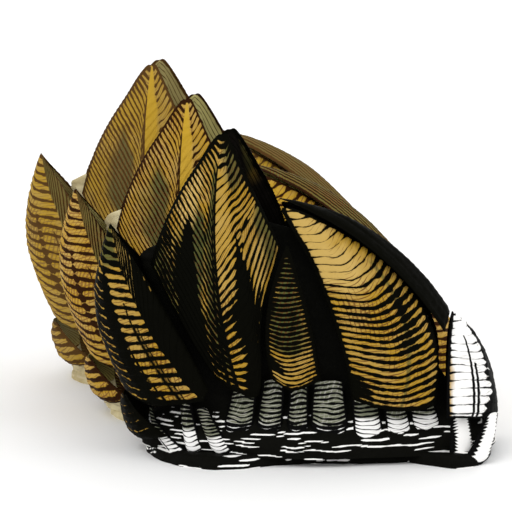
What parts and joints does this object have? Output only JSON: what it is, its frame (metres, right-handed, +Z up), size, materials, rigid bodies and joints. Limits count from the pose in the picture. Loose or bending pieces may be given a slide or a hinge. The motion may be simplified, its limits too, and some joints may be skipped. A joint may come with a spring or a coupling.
{
  "type": "barnacle cluster",
  "caption": "Goose barnacles grown together in a row on a shared fleshy foot, each a crown of pointed ribbed shell plates, cut off flat to rest on a surface.",
  "frame": {"origin": "middle of the foot's flat underside, below the middle barnacle", "axes": "+Z up; +X along the crowns from the rostrum end to the carina end; +Y from the front barnacle to the rear one"},
  "size_m": [0.0595, 0.0604, 0.0414],
  "materials": {
    "front_shell": "satin limy shell plate, ochre with heavy black growth lines and stains",
    "middle_shell": "satin limy shell plate, golden ochre with dark brown growth lines",
    "rear_shell": "dull limy shell plate, old gold with dark brown growth lines",
    "white_shell": "matt chalk white shell plate with black growth lines",
    "stalk": "leathery wrinkled skin, dark between the plates and pale at the foot"
  },
  "bodies": {
    "root": {"basal_left_1_front": "front_shell", "basal_left_1_middle": "middle_shell", "basal_left_1_rear": "rear_shell", "basal_left_2_front": "front_shell", "basal_left_2_middle": "middle_shell", "basal_left_2_rear": "rear_shell", "basal_left_3_front": "front_shell", "basal_left_3_middle": "middle_shell", "basal_left_3_rear": "rear_shell", "basal_left_4_front": "front_shell", "basal_left_4_middle": "middle_shell", "basal_left_4_rear": "rear_shell", "basal_right_1_front": "front_shell", "basal_right_1_middle": "middle_shell", "basal_right_1_rear": "rear_shell", "basal_right_2_front": "front_shell", "basal_right_2_middle": "middle_shell", "basal_right_2_rear": "rear_shell", "basal_right_3_front": "front_shell", "basal_right_3_middle": "middle_shell", "basal_right_3_rear": "rear_shell", "basal_right_4_front": "front_shell", "basal_right_4_middle": "middle_shell", "basal_right_4_rear": "rear_shell", "carina_front": "front_shell", "carina_middle": "middle_shell", "carina_rear": "rear_shell", "foot": "stalk", "rostrum_front": "front_shell", "rostrum_middle": "middle_shell", "rostrum_rear": "rear_shell", "scutum_left_front": "front_shell", "scutum_left_middle": "middle_shell", "scutum_left_rear": "rear_shell", "scutum_right_front": "front_shell", "scutum_right_middle": "middle_shell", "scutum_right_rear": "rear_shell", "stalk_front": "stalk", "stalk_middle": "stalk", "stalk_rear": "stalk", "sub_carina_front": "white_shell", "sub_carina_middle": "middle_shell", "sub_carina_rear": "rear_shell", "sub_rostrum_front": "front_shell", "sub_rostrum_middle": "middle_shell", "sub_rostrum_rear": "rear_shell", "tergum_left_front": "front_shell", "tergum_left_middle": "middle_shell", "tergum_left_rear": "rear_shell", "tergum_right_front": "front_shell", "tergum_right_middle": "middle_shell", "tergum_right_rear": "rear_shell", "upper_latus_left_front": "front_shell", "upper_latus_left_middle": "middle_shell", "upper_latus_left_rear": "rear_shell", "upper_latus_right_front": "front_shell", "upper_latus_right_middle": "middle_shell", "upper_latus_right_rear": "rear_shell"}
  },
  "joints": []
}
